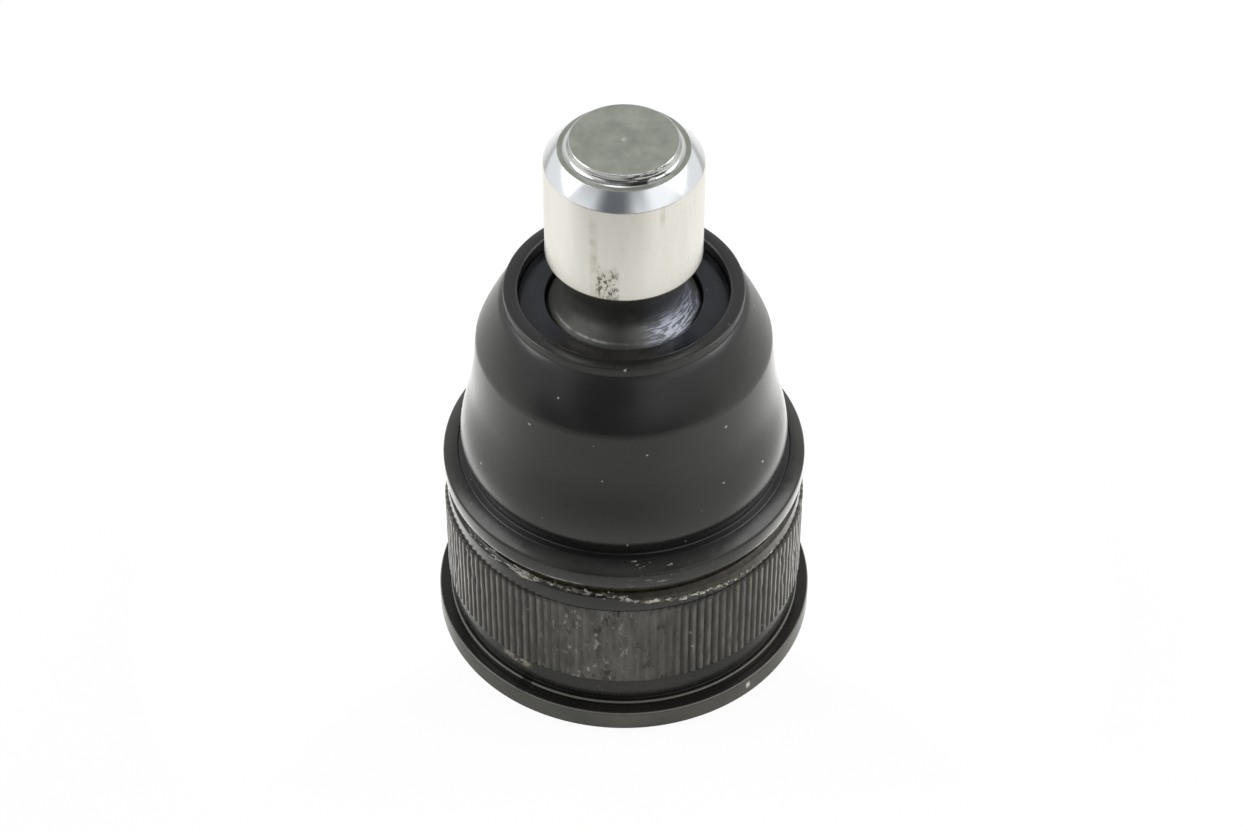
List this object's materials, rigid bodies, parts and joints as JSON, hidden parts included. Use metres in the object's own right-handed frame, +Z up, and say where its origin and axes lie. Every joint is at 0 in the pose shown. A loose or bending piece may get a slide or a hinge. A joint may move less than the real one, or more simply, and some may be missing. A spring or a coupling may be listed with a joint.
{
  "type": "suspension ball joint",
  "caption": "Press-in suspension ball joint: flanged housing with a serrated press band, plain clamp-type stud with a cross groove, rubber boot under a retaining ring.",
  "frame": {"origin": "centre of the housing's bottom face, on the stud's axis", "axes": "+Z up along the stud at rest; X and Y are equal, since the part is round about Z"},
  "size_m": [0.046, 0.046, 0.073],
  "materials": {
    "housing_coat": "satin black phosphate and paint over steel",
    "cover_coat": "satin black coat over pressed steel",
    "spring_steel": "oiled spring steel",
    "seat_plastic": "natural acetal",
    "stud_steel": "ground steel pin, dark oiled groove",
    "boot_rubber": "satin moulded rubber",
    "ring_coat": "satin black coat over sheet steel",
    "neck_ring_plastic": "matt blue-black plastic"
  },
  "bodies": {
    "housing_body": {"housing": "housing_coat", "cover_plate": "cover_coat", "preload_spring": "spring_steel", "boot_retainer_ring": "ring_coat", "dust_boot": "boot_rubber"},
    "seat_body": {"lower_seat": "seat_plastic", "upper_seat": "seat_plastic"},
    "boot_top": {"boot_neck_ring": "neck_ring_plastic"},
    "stud": {"ball_stud": "stud_steel"}
  },
  "joints": [
    {"name": "swing_direction", "type": "hinge", "parent": "housing_body", "child": "seat_body", "pos_m": [0, 0, 0.016], "axis": [0, 0, 1], "continuous": true},
    {"name": "swing", "type": "hinge", "parent": "seat_body", "child": "boot_top", "pos_m": [0, 0, 0.016], "axis": [1, 0, 0], "range_deg": [-25, 25], "deforming": ["dust_boot"]},
    {"name": "stud_spin", "type": "hinge", "parent": "boot_top", "child": "stud", "pos_m": [0, 0, 0.016], "axis": [0, 0, 1], "continuous": true}
  ]
}
